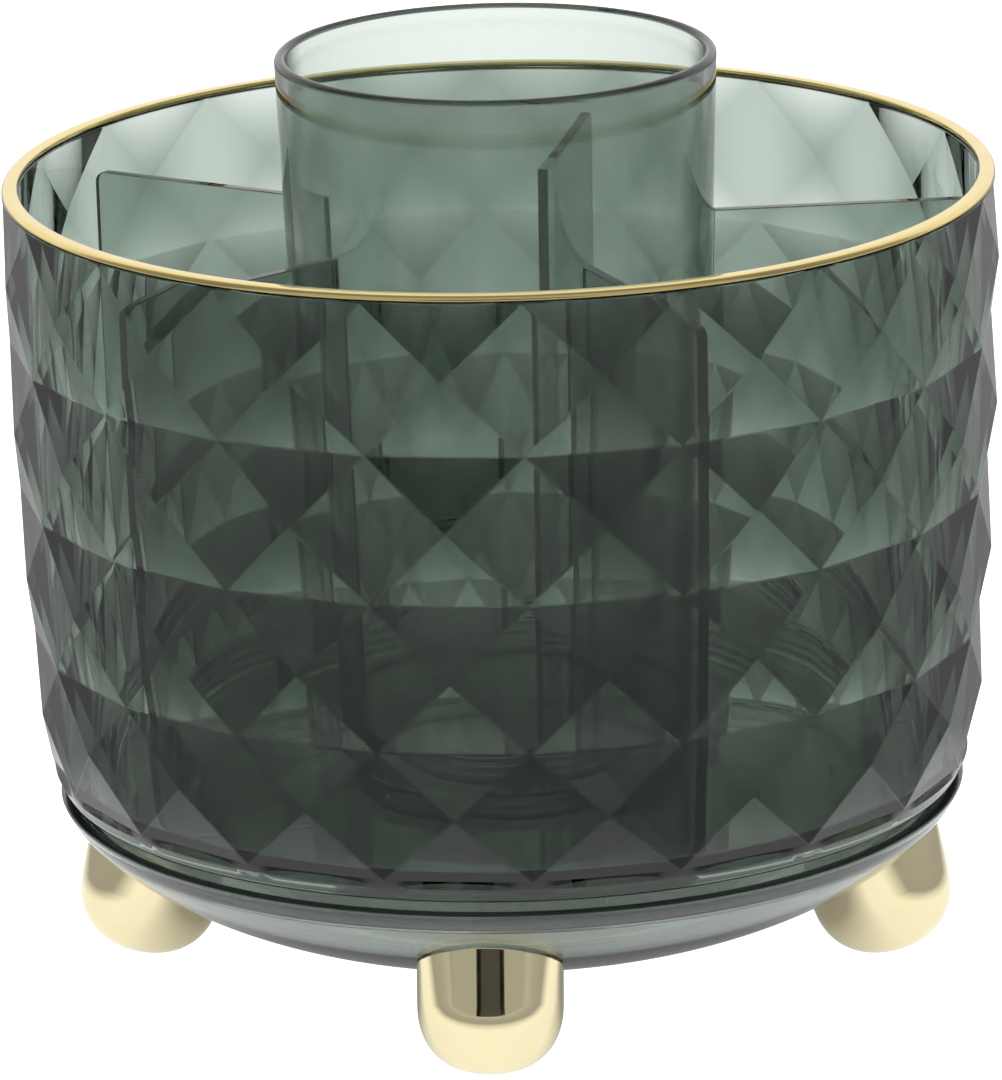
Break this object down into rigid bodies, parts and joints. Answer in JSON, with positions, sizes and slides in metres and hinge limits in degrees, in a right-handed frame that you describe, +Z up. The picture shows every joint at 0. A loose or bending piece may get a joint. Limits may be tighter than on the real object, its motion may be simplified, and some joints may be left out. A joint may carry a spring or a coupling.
{
  "type": "rotating desktop organizer",
  "caption": "Rotating desktop organizer: faceted smoked-clear tub with dividers and a centre cup, turning on a ball race above a bowl base with plated bullet feet.",
  "frame": {"origin": "on the floor under the turning axis, in the middle of the four feet", "axes": "+Z up along the turning axis; -Y is the side seen from the front, +X to its right"},
  "size_m": [0.1582, 0.1582, 0.1497],
  "materials": {
    "smoked_plastic": "clear smoked grey-green styrene, glossy",
    "gold_trim": "thin gold foil on the rim, bright",
    "gold_feet": "vacuum-plated champagne gold, mirror bright",
    "clear_balls": "clear moulded balls, hardly seen through the smoked plastic"
  },
  "bodies": {
    "base": {"base_bowl": "smoked_plastic", "base_cover": "smoked_plastic", "lower_race": "smoked_plastic", "pivot_washer": "smoked_plastic", "pivot_pin": "smoked_plastic", "foot_1": "gold_feet", "foot_2": "gold_feet", "foot_3": "gold_feet", "foot_4": "gold_feet"},
    "tub": {"tub_shell": "smoked_plastic", "gold_rim": "gold_trim", "centre_cup": "smoked_plastic", "divider_1": "smoked_plastic", "divider_2": "smoked_plastic", "divider_3": "smoked_plastic", "divider_4": "smoked_plastic", "divider_5": "smoked_plastic", "upper_race": "smoked_plastic"},
    "cage": {"ball_cage": "smoked_plastic", "ball_1": "clear_balls", "ball_2": "clear_balls", "ball_3": "clear_balls", "ball_4": "clear_balls", "ball_5": "clear_balls", "ball_6": "clear_balls", "ball_7": "clear_balls", "ball_8": "clear_balls", "ball_9": "clear_balls", "ball_10": "clear_balls", "ball_11": "clear_balls", "ball_12": "clear_balls"}
  },
  "joints": [
    {"name": "tub_spin", "type": "hinge", "parent": "base", "child": "tub", "pos_m": [0, 0, 0.035], "axis": [0, 0, 1], "continuous": true},
    {"name": "cage_roll", "type": "hinge", "parent": "base", "child": "cage", "pos_m": [0, 0, 0.03135], "axis": [0, 0, 1], "continuous": true}
  ],
  "couplings": [
    {"joint": "cage_roll", "follows": "tub_spin", "ratio": 0.5}
  ]
}
